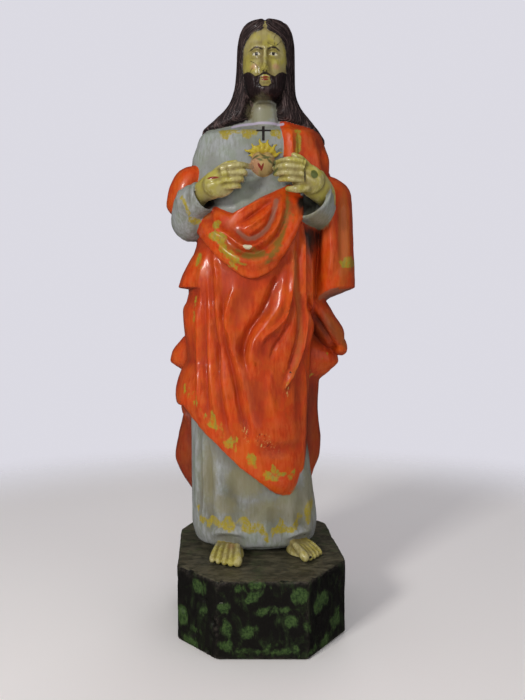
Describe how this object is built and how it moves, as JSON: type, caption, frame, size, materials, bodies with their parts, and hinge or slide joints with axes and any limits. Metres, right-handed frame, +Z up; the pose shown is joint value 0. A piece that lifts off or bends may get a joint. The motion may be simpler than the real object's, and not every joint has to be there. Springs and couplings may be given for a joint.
{
  "type": "sacred heart statue",
  "caption": "Painted carved devotional figure in tunic and draped mantle, hands to a flaming heart, on a low chamfered plinth.",
  "frame": {"origin": "middle of the plinth's underside", "axes": "+Z up, the figure faces -Y, +X is to the right of someone looking at its front"},
  "size_m": [0.1535, 0.145, 0.4763],
  "materials": {
    "plinth": "black and green oil paint, worn",
    "figure": "glossy oil paint over carved wood"
  },
  "bodies": {
    "root": {"plinth": "plinth", "figure": "figure"}
  },
  "joints": []
}
